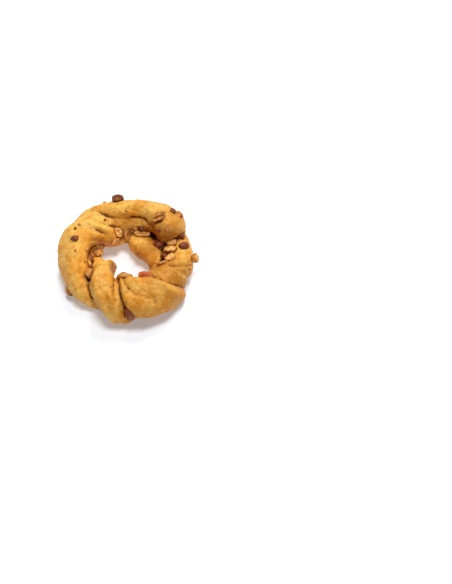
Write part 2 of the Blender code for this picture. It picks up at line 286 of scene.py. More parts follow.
@dataclass(frozen=True)
class BakedCrust:
    """Short wheat dough with oil, hand rolled and oven baked: a matt, faintly oily, grainy golden skin."""

    pale: str = "#FFC860"
    golden: str = "#EFA131"
    browned: str = "#BE7216"
    # The colour of the hollows: browner crust and painted shade.
    hollow_brown_and_shade: str = "#6E3C08"
    cream: str = "#FFCC7A"
    speck: str = "#6E3A16"
    cloud_mm: float = 9.0
    blotch_mm: float = 3.4
    fleck_mm: float = 2.2
    grain_mm: float = 0.9
    speck_cell_mm: float = 3.4
    pore_cell_mm: float = 1.9
    wrinkle_mm: float = 1.6
    cloud_range: Span = (0.38, 0.62)
    blotch_range: Span = (0.49, 0.72)
    fleck_range: Span = (0.54, 0.72)
    grain_range: Span = (0.3, 0.7)
    pore_range: Span = (0.02, 0.16)
    speck_chosen: Span = (0.80, 0.82)
    speck_range: Span = (0.13, 0.07)
    blotch_most: float = 0.62
    fleck_most: float = 0.40
    grain_shade: Span = (0.87, 1.11)
    grain_bump: float = 0.55
    grain_depth_mm: float = 0.10
    pore_bump: float = 0.30
    pore_depth_mm: float = 0.16
    wrinkle_bump: float = 0.85
    wrinkle_depth_mm: float = 0.60
    roughness: float = 0.52
    ior: float = 1.4
    specular: float = 0.3
    subsurface: float = 0.12
    subsurface_radius: tuple[float, float, float] = (1.0, 0.42, 0.14)
    subsurface_mm: float = 1.2

    def material(self) -> bpy.types.Material:
        """Build the crust: cloudy golden browns, flanks partly in painted shade, hollows in brown and painted
        shade, specks, pores and a fine grain.
        """
        material, tree, shader = new_material("baked_crust")
        place = add_node(tree, "TexCoord").outputs["Object"]
        cloud = soft_noise(tree, place, 1 / (self.cloud_mm * MM), Detail=3.0)
        blotch = soft_noise(tree, place, 1 / (self.blotch_mm * MM), Detail=4.0, Distortion=0.4)
        fleck = soft_noise(tree, place, 1 / (self.fleck_mm * MM), Detail=3.0, Roughness=0.6)
        grain = soft_noise(tree, place, 1 / (self.grain_mm * MM), Detail=3.0)
        wrinkle = soft_noise(tree, place, 1 / (self.wrinkle_mm * MM), Detail=5.0, Roughness=0.62,
                             Distortion=0.25)

        colour = blend(tree, ramp(tree, cloud, self.cloud_range), self.golden, self.pale)
        # Browner on one side of the ring and in soft patches, as baked; on the flanks this is partly painted
        # shade.
        colour = blend(tree, attribute(tree, "baked"), colour, self.browned)
        blotches = ramp(tree, blotch, self.blotch_range, (0.0, self.blotch_most))
        colour = blend(tree, blotches, colour, self.browned)
        flecks = ramp(tree, fleck, self.fleck_range, (0.0, self.fleck_most))
        colour = blend(tree, flecks, colour, self.cream)
        # Darker in grooves and under the almonds: partly browner crust, partly painted shade.
        colour = blend(tree, attribute(tree, "hollow"), colour, self.hollow_brown_and_shade)
        colour = blend(tree, self.specks(tree, place), colour, self.speck)
        shade = ramp(tree, grain, self.grain_range, self.grain_shade)
        grained = add_node(tree, "HueSaturation", {}, {"Value": shade, "Color": colour})
        tree.links.new(grained.outputs[0], shader.inputs["Base Color"])

        pores = add_node(tree, "TexVoronoi", {"Scale": 1 / (self.pore_cell_mm * MM)}, {"Vector": place})
        pore = ramp(tree, pores.outputs["Distance"], self.pore_range)
        normal = bump(tree, grain, self.grain_bump, self.grain_depth_mm * MM)
        normal = bump(tree, pore, self.pore_bump, self.pore_depth_mm * MM, normal)
        normal = bump(tree, wrinkle, self.wrinkle_bump, self.wrinkle_depth_mm * MM, normal)
        tree.links.new(normal, shader.inputs["Normal"])
        set_inputs(shader, {"Roughness": self.roughness, "IOR": self.ior, "Specular IOR Level": self.specular,
                            "Subsurface Weight": self.subsurface, "Subsurface Radius": self.subsurface_radius,
                            "Subsurface Scale": self.subsurface_mm * MM})
        return material

    def specks(self, tree: Tree, place: Socket) -> Socket:
        """Scatter small round specks, one in about every fifth cell."""
        cells = add_node(tree, "TexVoronoi", {"Scale": 1 / (self.speck_cell_mm * MM)}, {"Vector": place})
        chosen = ramp(tree, cells.outputs["Color"], self.speck_chosen)
        dot = ramp(tree, cells.outputs["Distance"], self.speck_range)
        return add_node(tree, "Math", {"operation": "MULTIPLY"}, {0: chosen, 1: dot}).outputs[0]


class Roast(Enum):
    """How an almond piece took the oven."""

    DARK = "dark"
    RED = "red"
    TOASTED = "toasted"
    PALE = "pale"


@dataclass(frozen=True)
class ToastedAlmond:
    """Chopped roasted almond: papery ribbed brown skin over waxy flesh that browned at its cut edges."""

    roast: Roast
    skin: str
    skin_light: str
    flesh: str
    flesh_brown: str
    bare: float
    rib_stretch: tuple[float, float, float] = (0.22, 1.0, 1.0)
    ribs_per_mm: float = 1.25
    clouds_per_mm: float = 0.55
    crumbs_per_mm: float = 2.2
    rib_range: Span = (0.38, 0.68)
    cloud_range: Span = (0.42, 0.66)
    crumb_bump: float = 0.4
    crumb_depth_mm: float = 0.18
    rib_bump: float = 0.6
    rib_depth_mm: float = 0.22
    roughness: float = 0.58
    ior: float = 1.45
    subsurface: float = 0.08
    subsurface_radius: tuple[float, float, float] = (1.0, 0.5, 0.25)
    subsurface_mm: float = 0.8

    def material(self) -> bpy.types.Material:
        """Build the almond: ribbed skin where the skin value is 1, waxy cut flesh elsewhere."""
        material, tree, shader = new_material(f"almond_{self.roast.value}")
        place = add_node(tree, "Attribute", {"attribute_name": "kernel"}).outputs["Vector"]
        drawn_out = add_node(tree, "Mapping", {"Scale": self.rib_stretch}, {"Vector": place}).outputs[0]
        ribs = soft_noise(tree, drawn_out, self.ribs_per_mm, Detail=4.0, Distortion=0.3)
        cloud = soft_noise(tree, place, self.clouds_per_mm, Detail=4.0, Roughness=0.6)
        crumbly = soft_noise(tree, place, self.crumbs_per_mm, Detail=4.0)

        skin = blend(tree, ramp(tree, ribs, self.rib_range), self.skin, self.skin_light)
        flesh = blend(tree, ramp(tree, cloud, self.cloud_range), self.flesh, self.flesh_brown)
        # The rim value browns the cut edges, and darkens a whole half's seam as painted shade.
        flesh = blend(tree, attribute(tree, "rim"), flesh, self.flesh_brown)
        colour = blend(tree, attribute(tree, "skin"), flesh, skin)
        tree.links.new(colour, shader.inputs["Base Color"])

        normal = bump(tree, crumbly, self.crumb_bump, self.crumb_depth_mm * MM)
        normal = bump(tree, ribs, self.rib_bump, self.rib_depth_mm * MM, normal)
        tree.links.new(normal, shader.inputs["Normal"])
        set_inputs(shader, {"Roughness": self.roughness, "IOR": self.ior,
                            "Subsurface Weight": self.subsurface, "Subsurface Radius": self.subsurface_radius,
                            "Subsurface Scale": self.subsurface_mm * MM})
        return material


ROASTS = {
    Roast.DARK: ToastedAlmond(Roast.DARK, "#762C0E", "#A24E1E", "#A0602A", "#74380E", 0.15),
    Roast.RED: ToastedAlmond(Roast.RED, "#A83C0C", "#D06E2C", "#E8AC54", "#B4661C", 0.3),
    Roast.TOASTED: ToastedAlmond(Roast.TOASTED, "#84400F", "#B86E2C", "#E8A24C", "#92500F", 0.55),
    Roast.PALE: ToastedAlmond(Roast.PALE, "#A05A1C", "#C88438", "#F8BE6A", "#C4762A", 0.7),
}


@dataclass(frozen=True)
class MattPaper:
    """Seamless white studio paper: quite matt, a clean white that lets the soft shadows show."""

    white: str = "#EDF2F8"
    roughness: float = 0.9
    specular: float = 0.2
    glow: float = 0.27

    def material(self) -> bpy.types.Material:
        """Build the paper: an even matt white with a little light of its own."""
        material, _, shader = new_material("studio_paper")
        set_inputs(shader, {"Base Color": srgb(self.white), "Roughness": self.roughness,
                            "Specular IOR Level": self.specular, "Emission Color": srgb(self.white),
                            "Emission Strength": self.glow})
        return material


# ---------------------------------------- dough

@dataclass(frozen=True)
class Fold:
    """A fold pressed into a strand: its ring angles, its section angles, and its size."""

    ring_from: float
    ring_to: float
    section_from: float
    section_to: float
    depth_mm: float = 1.3
    width_mm: float = 1.7


@dataclass(frozen=True)
class Strand:
    """One strand of the twist: its turn in the rope, its end, its tables in millimetres and its folds.

    Pulled dough has fine creases along its length. The sides and stations are those of its mesh.
    """

    turn: float
    end: float
    spread: Table
    depth: Table
    width: Table
    folds: tuple[Fold, ...] = ()
    pulled: bool = True
    sides: int = 96
    stations: int = 440


@dataclass(frozen=True)
class Rope:
    """The rope's centre line, and how the two strands turn about it."""

    half_width: float = 26.4 * MM
    half_depth: float = 27.6 * MM
    height: float = 10.6 * MM
    start: float = 19.0
    twist: Table = ((19, 238), (75, 225), (108, 208), (127, 170), (166, 65), (211, 7), (238.5, -80),
                    (249.5, -104), (257.5, -130), (264.6, -188), (278, -275), (292, -305), (308, -322),
                    (321, -382), (333, -431), (348, -510), (380, -540), (452, -545))
    lift: Table = ((19, 8.5), (45, 8.0), (75, 4.5), (110, 1.0), (140, 0.0), (315, 0.0), (340, -1.2),
                   (385, -1.8), (452, -4.0))
    outset: Table = ((19, 0.0), (36, 1.4), (50, 1.4), (66, 0.4), (90, 0.2), (112, 1.8), (131, 2.9),
                     (147, 2.3), (160, 0.8), (175, -1.5), (200, -2.9), (245, -1.8), (270, 0.0), (300, 0.9),
                     (328, 0.2), (345, 0.0), (452, 0.0))

    @property
    def mean_radius(self) -> float:
        """The mean radius of the rope's centre line."""
        return (self.half_width + self.half_depth) / 2

    def centre(self, ring: np.ndarray) -> tuple[np.ndarray, np.ndarray]:
        """Find the rope's middle.

        Args:
            ring: Ring angles.

        Returns:
            The rope's middle at each angle, and the direction out of the ring there.
        """
        a = np.radians(np.atleast_1d(ring))
        outward = np.stack([np.cos(a), np.sin(a), np.zeros_like(a)], axis=1)
        middle = outward * [self.half_width, self.half_depth, 0] + [0, 0, self.height]
        middle += outward * (along(self.outset, ring) * MM)[:, None]
        middle[:, 2] += along(self.lift, ring) * MM
        return middle + np.array(RING_SHIFT), outward

    def round(self, outward: np.ndarray, angle: np.ndarray) -> np.ndarray:
        """Find the direction at an angle round the rope."""
        a = np.radians(np.atleast_1d(angle))[:, None]
        return outward * np.cos(a) + np.array(UP) * np.sin(a)

    def spot(self, ring: float, angle: float, reach: float) -> tuple[Vector, Vector, Vector]:
        """Find one place near the rope.

        Args:
            ring: Ring angle.
            angle: Angle round the rope.
            reach: Distance from the rope's middle, in metres.

        Returns:
            The place, the direction out of the ring, and the direction at that angle.
        """
        middle, outward = self.centre(np.array([ring], dtype=float))
        way = self.round(outward, np.array([angle], dtype=float))
        return Vector((middle + way * reach)[0]), Vector(outward[0]), Vector(way[0])


ROPE = Rope()

LEFT = Strand(
    turn=0, end=452,
    spread=((19, 2.0), (60, 2.6), (80, 5.0), (98, 6.8), (114, 7.4), (130, 8.0), (160, 7.6), (207, 6.4),
            (231, 4.8), (245, 5.4), (257, 7.4), (270, 6.2), (310, 6.4), (325, 7.6), (348, 7.6), (375, 10.8),
            (398, 12.6), (425, 12.2), (452, 9.8)),
    depth=((19, 5.0), (75, 5.4), (98, 6.6), (125, 7.2), (207, 7.0), (243, 6.6), (258, 7.2), (275, 7.2),
           (300, 7.6), (340, 6.4), (370, 6.2), (398, 7.2), (425, 6.8), (452, 6.0)),
    width=((19, 6.0), (90, 6.4), (112, 6.8), (130, 9.0), (165, 10.5), (205, 9.6), (231, 7.6), (243, 7.2),
           (267, 9.9), (285, 12.0), (325, 10.0), (345, 8.6), (370, 7.2), (452, 5.6)),
    folds=(Fold(264, 308, 118, 15, 0.5, 1.6), Fold(286, 297, 101, 63, 0.4, 2.0),
           Fold(299, 306, 24, -14, 0.3, 1.3), Fold(263, 271, 78, 55, 0.4, 2.0),
           Fold(120, 140, 82, 89, 0.25, 1.4), Fold(139, 157, 121, 117, 0.25, 1.4),
           Fold(202, 225, 91, 42, 0.25, 1.4), Fold(199, 227, 126, 72, 0.25, 1.4),
           Fold(126, 156, 134, 140, 0.6, 2.2), Fold(219, 244, 130, -12, 1.3, 3.0)))
RIGHT = Strand(
    turn=180, end=404,
    spread=((19, 3.2), (75, 4.8), (130, 6.0), (165, 7.0), (185, 9.0), (205, 9.2), (228, 8.8), (248, 8.0),
            (265, 6.4), (300, 5.6), (325, 4.6), (350, 5.4), (404, 6.2)),
    depth=((19, 6.8), (75, 6.8), (130, 6.6), (165, 7.6), (185, 8.4), (205, 8.4), (228, 8.2), (248, 7.6),
           (268, 6.6), (300, 6.0), (325, 5.8), (350, 6.4), (404, 5.8)),
    width=((19, 9.6), (36, 10.6), (75, 9.2), (130, 9.6), (200, 8.8), (228, 8.8), (248, 10.2), (259, 10.6),
           (268, 9.6), (300, 9.4), (325, 8.0), (345, 8.0), (404, 8.4)),
    folds=(Fold(316, 346, 150, -25, 1.2), Fold(326, 356, 125, 5, 0.9), Fold(334, 349, 11, 10, 0.35, 1.4),
           Fold(60, 104, 130, 124, 0.3, 1.4), Fold(53, 88, 161, 160, 1.4, 1.6),
           Fold(30, 50, 131, 178, 0.5, 1.4), Fold(27, 31, 92, 132, 0.4, 1.4),
           Fold(231, 259, 117, 97, 0.25, 1.4), Fold(232, 258, 90, 37, 0.25, 1.4),
           Fold(236, 254, 38, -30, 1.0, 2.0)),
    stations=400)
CORE_RADIUS: Table = (
    (19, 5.5), (60, 7.5), (112, 7.6), (128, 10.6), (148, 11.2), (160, 9.0), (180, 6.0), (244, 6.4),
    (256, 11.2), (265, 11.4), (275, 8.4), (284, 7.0), (300, 6.5), (325, 9.0), (337, 10.6), (352, 7.0),
    (375, 5.8), (400, 6.6), (425, 6.4))
CORE = Strand(turn=0, end=425, spread=((19, 0), (452, 0)), depth=CORE_RADIUS, width=CORE_RADIUS,
              pulled=False, sides=48, stations=160)


@dataclass
class TwistedDough:
    """The dough ring: two strands round a core, melted into one skin and given its baked relief.

    Breadths and melting are rounds of averaging, and a seed shifts a noise pattern.
    """

    strands: tuple[Strand, ...] = (LEFT, RIGHT, CORE)
    section_power: float = 2.3
    end_power: float = 2.4
    blunt_end: float = 7.0 * MM
    end_crowding: float = 0.6
    lumps: Table = ((9.0 * MM, 0.45 * MM), (4.0 * MM, 0.22 * MM))
    strand_radius: float = 8.0 * MM
    pull_length: float = 9.0 * MM
    pull_width: float = 2.2 * MM
    pull_depth: float = 0.28 * MM
    pull_sharpness: float = 2.4
    pull_seed: float = 3.7
    skin_square: float = 0.487 * MM
    melting: int = 3
    groove_breadth: int = 14
    groove_gain: float = 2.2
    groove_limit: float = 0.55 * MM
    roughs: Table = ((2.9 * MM, 0.28 * MM), (1.4 * MM, 0.16 * MM))
    rough_seed: float = 5.1
    baked: Table = ((0, 0.15), (12, 0.25), (32, 0.5), (60, 0.12), (95, 0.02), (130, 0.06), (165, 0.14),
                    (185, 0.16), (215, 0.08), (245, 0.20), (290, 0.38), (316, 0.52), (340, 0.66),
                    (352, 0.30), (360, 0.15))
    # Flanks and undersides turn browner: partly oven browning, partly painted shade.
    flank_slope: Span = (0.3, -0.6)
    flank_brown_and_shade: float = 0.25
    patch_size: float = 7 * MM
    patch_baked: float = 0.22
    patch_seed: float = 2.2
    # These find the hollows, whose darker colour is partly painted shade.
    hollow_breadth: int = 40
    hollow_pull: float = 0.7
    hollow_sunk: Span = (0.12 * MM, 0.6 * MM)
    hollow_shut: Span = (0.22, 0.75)
    slant: tuple[float, float, float] = (0.31, 0.53, 0.79)
    feelers: int = 9
    feeler_tilts: tuple[float, ...] = (30, 55, 72)
    feeler_start: float = 0.2 * MM
    feeler_reach: float = 3.4 * MM

    def strand_skin(self, strand: Strand, ring: np.ndarray, section: np.ndarray) -> np.ndarray:
        """Place points on a strand's skin.

        Args:
            strand: The strand.
            ring: Ring angle of each point.
            section: Angle of each point round the strand.

        Returns:
            The points.
        """
        middle, outward = ROPE.centre(ring)
        twist = along(ROPE.twist, ring) + strand.turn
        middle = middle + ROPE.round(outward, twist) * (along(strand.spread, ring) * MM)[:, None]
        off = np.radians(section - twist)
        across = np.abs(np.cos(off)) / along(strand.depth, ring)
        beside = np.abs(np.sin(off)) / along(strand.width, ring)
        power = self.section_power
        reach = (across**power + beside**power) ** (-1 / power) * MM
        for fold in strand.folds:
            share = np.clip((ring - fold.ring_from) / (fold.ring_to - fold.ring_from), 0, 1)
            line = fold.section_from + (fold.section_to - fold.section_from) * share
            turn = np.radians((section - line + 180) % 360 - 180)
            away = turn * reach / (fold.width_mm * MM)
            reach = reach - fold.depth_mm * MM * np.exp(-away**2) * np.sqrt(np.sin(np.pi * share))
        way = ROPE.round(outward, section)
        centred = middle + way * reach[:, None] - np.array(RING_SHIFT)
        for size, height in self.lumps:
            reach = reach + height * field(centred, size)
        if strand.pulled:
            reach = reach - self.pull_depth * self.creases(strand, ring, off)
        from_end = np.radians(np.minimum(ring - ROPE.start, strand.end - ring)) * ROPE.half_depth
        shy = np.clip(1 - from_end / self.blunt_end, 0, 1)
        closing = (1 - shy**self.end_power) ** (1 / self.end_power)
        return middle + way * (reach * closing)[:, None]

    def creases(self, strand: Strand, ring: np.ndarray, turn: np.ndarray) -> np.ndarray:
        """Read the fine creases that pulling left along a strand.

        Args:
            strand: The strand.
            ring: Ring angle of each point.
            turn: Each point's angle from the strand's twist, in radians.

        Returns:
            Up to 1 on a crease's line, and below 0 between the creases.
        """
        length = np.radians(ring) * ROPE.mean_radius / self.pull_length
        waist = self.strand_radius / self.pull_width
        pulled = np.stack([length + strand.turn, np.cos(turn) * waist, np.sin(turn) * waist], axis=1)
        return 1 - self.pull_sharpness * np.abs(field(pulled, 1.0, self.pull_seed))

    def add_strand(self, bm: bmesh.types.BMesh, strand: Strand) -> None:
        """Add a strand: a sphere drawn out along the rope, with its poles at the strand's ends.

        Args:
            bm: The bmesh that takes it.
            strand: The strand.
        """
        verts = bmesh.ops.create_uvsphere(bm, u_segments=strand.sides, v_segments=strand.stations,
                                          radius=1)["verts"]
        places = np.array([vert.co for vert in verts])
        share = np.arccos(np.clip(places[:, 2], -1, 1)) / np.pi
        share = share - self.end_crowding * np.sin(2 * np.pi * share) / (2 * np.pi)
        ring = ROPE.start + (strand.end - ROPE.start) * share
        section = np.degrees(np.arctan2(places[:, 1], places[:, 0]))
        for vert, point in zip(verts, self.strand_skin(strand, ring, section)):
            vert.co = (point[0], point[1], max(point[2], 0.0))

    def build(self) -> bpy.types.Object:
        """Build the dough.

        Returns:
            The dough's object, with the value "baked" on its vertices.
        """
        bm = bmesh.new()
        for strand in self.strands:
            self.add_strand(bm, strand)
        bmesh.ops.recalc_face_normals(bm, faces=bm.faces)
        dough = link_mesh("dough_ring", bm)
        remesh(dough, self.skin_square)
        points = relax(dough.data, read_points(dough.data), self.melting)
        write_points(dough.data, points)
        normals = read_normals(dough.data)
        sunk = ((relax(dough.data, points, self.groove_breadth) - points) * normals).sum(axis=1)
        points = points - normals * (np.clip(sunk, 0, self.groove_limit) * self.groove_gain)[:, None]
        for size, height in self.roughs:
            points = points + normals * (field(points, size, self.rough_seed) * height)[:, None]
        points[:, 2] = np.maximum(points[:, 2], 0.0)
        write_points(dough.data, points)
        # The value "baked" holds oven browning, and painted shade on the flanks.
        write_layer(dough.data, "baked", self.browning_and_flank_shade(dough.data, points))
        return dough

    def browning_and_flank_shade(self, mesh: bpy.types.Mesh, points: np.ndarray) -> np.ndarray:
        """Measure how brown each point is: the oven browned one side of the ring and soft patches, and the
        flanks are darker, partly as oven browning and partly as painted shade.

        Args:
            mesh: The dough's mesh.
            points: Its vertices.

        Returns:
            A value for each vertex: 0 for golden crust, up to 1 where it is brown.
        """
        centred = points - np.array(RING_SHIFT)
        ring = np.degrees(np.arctan2(centred[:, 1], centred[:, 0])) % 360
        flank = smooth_step(*self.flank_slope, read_normals(mesh)[:, 2])
        patch = field(centred, self.patch_size, self.patch_seed)
        return np.clip(along(self.baked, ring) + self.flank_brown_and_shade * flank + self.patch_baked * patch, 0, 1)

    def shade_and_brown_hollows(self, dough: bpy.types.Object, almonds: list[bpy.types.Object]) -> None:
        """Write the value "hollow" on the dough: 0 on open crust, up to 1 far down in grooves and under
        almonds, where it darkens the crust, partly as browner crust and partly as painted shade.

        Feelers lean out from each vertex to all sides, and the share that meets something counts.

        Args:
            dough: The dough.
            almonds: The almonds that lie on it.
        """
        bm = bmesh.new()
        for obj in (dough, *almonds):
            bm.from_mesh(obj.data)
        tree = BVHTree.FromBMesh(bm)
        bm.free()
        points, normals = read_points(dough.data), read_normals(dough.data)
        smooth = relax(dough.data, points, self.hollow_breadth, self.hollow_pull)
        sunk = ((smooth - points) * normals).sum(axis=1)
        side = np.cross(normals, np.array(self.slant))
        side /= np.linalg.norm(side, axis=1)[:, None]
        other = np.cross(normals, side)
        starts = (points + normals * self.feeler_start).tolist()
        shut = np.zeros(len(points))
        for number in range(self.feelers):
            turn = math.radians(GOLDEN_ANGLE * number)
            tilt = math.radians(self.feeler_tilts[number % len(self.feeler_tilts)])
            leaning = side * math.cos(turn) + other * math.sin(turn)
            ways = (normals * math.cos(tilt) + leaning * math.sin(tilt)).tolist()
            shut += [tree.ray_cast(start, way, self.feeler_reach)[0] is not None
                     for start, way in zip(starts, ways)]
        shut = relax(dough.data, shut[:, None] / self.feelers, 2)[:, 0]
        hollow = np.maximum(smooth_step(*self.hollow_sunk, sunk), smooth_step(*self.hollow_shut, shut))
        write_layer(dough.data, "hollow", hollow)


# ---------------------------------------- almonds

class Side(Enum):
    """Which side of an almond piece looks out of the dough."""

    SKIN = "skin"
    CUT = "cut"


@dataclass(frozen=True)
class Chip:
    """One chopped almond: its place on the rope, the way it faces, its size in millimetres and its look."""

    ring: float
    angle: float
    reach: float
    facing: float
    lean: float
    spin: float
    length: float
    width: float
    thick: float
    side: Side
    roast: Roast


SKIN, CUT = Side.SKIN, Side.CUT
DARK, RED, TOASTED, PALE = Roast.DARK, Roast.RED, Roast.TOASTED, Roast.PALE
CHIPS = (
    Chip(100, 53, 14.0, 49, 0, 8, 7.6, 5.0, 4.0, SKIN, DARK),
    Chip(37.8, 107, 11.6, 125, 0, 120, 10.2, 5.4, 4.2, CUT, TOASTED),
    Chip(39, 56, 11.2, 56, 0, 155, 4.6, 3.6, 3.0, SKIN, DARK),
    Chip(36, 31, 11.2, 35, 0, 165, 5.4, 3.6, 3.0, SKIN, RED),
    Chip(21.5, 92, 7.5, 90, -54, 60, 6.4, 5.2, 3.4, CUT, PALE),
    Chip(171, 79, 15.0, 79, 0, -60, 5.8, 4.6, 2.8, SKIN, DARK),
    Chip(107, 168, 10.5, 128, 0, -99, 6.4, 4.6, 3.6, CUT, PALE),
    Chip(90.4, 184, 10.9, 142, 0, 90, 9.4, 4.4, 3.8, CUT, TOASTED),
    Chip(120, 181, 14.4, 165, 0, 170, 6.0, 4.0, 3.2, CUT, PALE),
    Chip(420, 144, 11.5, 100, 0, 156, 10.4, 3.8, 3.4, CUT, PALE),
    Chip(384, 138, 9.5, 118, 0, 160, 7.2, 6.2, 4.0, SKIN, DARK),
    Chip(377, 84, 6.8, 92, 0, 100, 6.2, 4.4, 3.2, CUT, PALE),
    Chip(367, 98, 7.6, 95, 0, 100, 7.6, 4.2, 3.2, CUT, PALE),
    Chip(359, 125, 7.9, 110, 0, 120, 5.0, 3.8, 3.0, SKIN, DARK),
    Chip(351, 93, 9.0, 95, 0, 40, 6.8, 4.6, 3.4, CUT, PALE),
    Chip(338.3, 108, 10.7, 100, 0, 46, 8.8, 3.6, 3.2, SKIN, TOASTED),
    Chip(368, 52, 11.7, 70, 0, 65, 5.6, 4.8, 3.2, SKIN, DARK),
    Chip(358, 22, 13.6, 30, 0, 180, 6.0, 4.6, 4.0, CUT, PALE),
    Chip(380.5, 50, 11.6, 80, 0, 60, 4.4, 3.4, 2.8, SKIN, DARK),
    Chip(310, 136, 10.4, 100, 0, 50, 9.0, 5.2, 4.2, SKIN, RED),
    Chip(275, 125, 13.8, 84, 0, 18, 10.0, 5.4, 4.2, SKIN, TOASTED),
    Chip(167, 170, 9.7, 134, 0, -139, 6.8, 4.4, 3.4, CUT, TOASTED),
    Chip(218, 88, 9.0, 92, 0, 62, 6.6, 5.2, 4.0, SKIN, TOASTED),
    Chip(209, -20, 13.3, 15, 0, 0, 7.2, 6.2, 4.6, SKIN, TOASTED),
    Chip(277, 12, 12.0, 16, 0, 90, 8.6, 6.0, 4.0, SKIN, DARK),
    Chip(62, 2, 12.0, 5, 0, 20, 7.0, 5.0, 3.4, SKIN, DARK),
    Chip(120, 2, 12.4, 0, 0, 70, 6.4, 4.8, 3.6, CUT, PALE),
    Chip(148, -20, 12.0, -15, 0, -30, 8.0, 5.0, 3.6, SKIN, RED),
    Chip(92, -8, 11.8, -5, 0, 40, 6.6, 4.8, 3.4, SKIN, DARK),
    Chip(288, 184, 11.4, 180, 0, 110, 7.0, 4.6, 3.4, CUT, TOASTED),
)


@dataclass
class ChoppedAlmond:
    """One chopped almond, broken by the same seeded cuts as its solid and given its broken relief."""

    chip: Chip
    seed: int
    cut_level: float = 0.3
    levels: Table = ((0.62, 0.85), (0.62, 0.85), (0.6, 0.85))
    under_lean: Span = (-0.12, 0.12)
    end_leans: Table = ((-0.5, 0.5), (-0.25, 0.35))
    flank_leans: Table = ((-0.3, 0.3), (-0.1, 0.3))
    sides: int = 32
    rings: int = 20
    square: float = 0.26 * MM
    shell_range: Span = (0.955, 0.985)
    rim_range: Span = (0.72, 0.95)
    rim_hidden: float = 0.8
    torn: float = 0.02
    torn_size: float = 1.1 * MM
    flake: float = 2.4 * MM
    flake_share: float = 0.5
    top_share: float = 0.25
    kept_range: Span = (0.62, 0.48)
    whole: float = 10.0
    seam_width: float = 0.12
    seam_depth: float = 0.16
    seam_ends: Span = (0.42, 0.25)
    seam_facing: Span = (0.5, 0.8)
    chatter: Table = ((1.9 * MM, 0.32 * MM), (0.8 * MM, 0.16 * MM))
    skin_calm: float = 0.6
    inset: float = 0.08 * MM
    pattern_step: float = 7.3
    flake_step: float = 3.1
    chatter_step: float = 1.7

    def cuts(self) -> list[tuple[Vector, float]]:
        """Draw the planes that broke the almond, each as a direction and a distance, as part.py does."""
        draw = random.Random(self.seed)
        ways = [Vector((0, draw.uniform(*self.under_lean), -1))]
        for side in (1, -1):
            ways.append(Vector((side, *(draw.uniform(*lean) for lean in self.end_leans))))
        forward, upward = self.flank_leans
        ways.append(Vector((draw.uniform(*forward), draw.choice((-1, 1)), draw.uniform(*upward))))
        levels = [self.cut_level, *(draw.uniform(*level) for level in self.levels)]
        return [(way.normalized(), level) for way, level in zip(ways, levels)]

    def turn(self) -> Matrix:
        """Find the piece's place and turn on the rope."""
        chip = self.chip
        place, outward, _ = ROPE.spot(chip.ring, chip.angle, chip.reach * MM)
        forward = Vector((-outward.y, outward.x, 0))
        a = math.radians(chip.facing)
        face = outward * math.cos(a) + UP * math.sin(a)
        lean = Matrix.Rotation(math.radians(chip.lean), 3, forward.cross(face))
        face = lean @ face
        length = Matrix.Rotation(math.radians(-chip.spin), 3, face) @ lean @ forward
        if chip.side is Side.CUT:
            face = -face
        turned = Matrix((length, face.cross(length), face)).transposed()
        return Matrix.Translation(place) @ turned.to_4x4()

    def build(self, name: str) -> bpy.types.Object:
        """Build the piece.

        Args:
            name: The object's name.

        Returns:
            The object, with the values "skin" and "rim" and the vector "kernel" on its vertices.
        """
        chip = self.chip
        bm = bmesh.new()
        bmesh.ops.create_uvsphere(bm, u_segments=self.sides, v_segments=self.rings, radius=1)
        for way, level in self.cuts():
            geometry = bm.verts[:] + bm.edges[:] + bm.faces[:]
            bmesh.ops.bisect_plane(bm, geom=geometry, plane_co=way * level, plane_no=way, clear_outer=True)
            bmesh.ops.edgeloop_fill(bm, edges=[edge for edge in bm.edges if edge.is_boundary])
        bmesh.ops.recalc_face_normals(bm, faces=bm.faces)
        body = np.array([vert.co for vert in bm.verts])
        low, high = body.min(axis=0), body.max(axis=0)
        middle, scale = (low + high) / 2, np.array([chip.length, chip.width, chip.thick]) * MM / (high - low)
        bmesh.ops.translate(bm, vec=-Vector(middle), verts=bm.verts)
        bmesh.ops.scale(bm, vec=Vector(scale), verts=bm.verts)
        piece = link_mesh(name, bm)
        remesh(piece, self.square)
        points = relax(piece.data, read_points(piece.data), 1)
        normals = read_normals(piece.data)
        torn = self.torn * field(points, self.torn_size, self.seed)
        shell = np.linalg.norm(points / scale + middle, axis=1) + torn
        skin = smooth_step(*self.shell_range, shell)
        rim = smooth_step(*self.rim_range, shell) * (1 - self.rim_hidden * skin)
        flakes = self.flake_share * field(points, self.flake, self.seed * self.flake_step)
        kept = ROASTS[chip.roast].bare + flakes + self.top_share * normals[:, 2]
        skin = skin * smooth_step(*self.kept_range, kept)
        seam = self.seam(points, normals)
        # The seam takes the cut edges' brown as well, which is painted shade in its groove.
        rim = np.maximum(rim, seam)
        shift = self.seed * self.chatter_step
        lift = sum(field(points, size, shift) * height for size, height in self.chatter)
        lift = lift * (1 - self.skin_calm * skin) - seam * self.seam_depth * chip.thick * MM
        raised = points + normals * (lift - self.inset)[:, None]
        write_layer(piece.data, "kernel", points / MM + self.seed * self.pattern_step)
        write_layer(piece.data, "skin", skin)
        write_layer(piece.data, "rim", rim)
        matrix = np.array(self.turn())
        write_points(piece.data, raised @ matrix[:3, :3].T + matrix[:3, 3])
        return piece

    def seam(self, points: np.ndarray, normals: np.ndarray) -> np.ndarray:
        """Find the hollow along the middle of a split almond's flat face, which only a whole half has; it is
        carved in and darkened with painted shade.

        Args:
            points: The piece's vertices, before it is placed.
            normals: Their normals.

        Returns:
            A value for each vertex: 1 in the seam, 0 off it.
        """
        chip = self.chip
        across = points / (np.array([chip.length, chip.width, chip.thick]) * MM)
        ends = smooth_step(*self.seam_ends, np.abs(across[:, 0]))
        facing = smooth_step(*self.seam_facing, -normals[:, 2])
        return np.exp(-(across[:, 1] / self.seam_width)**2) * ends * facing * (chip.length >= self.whole)


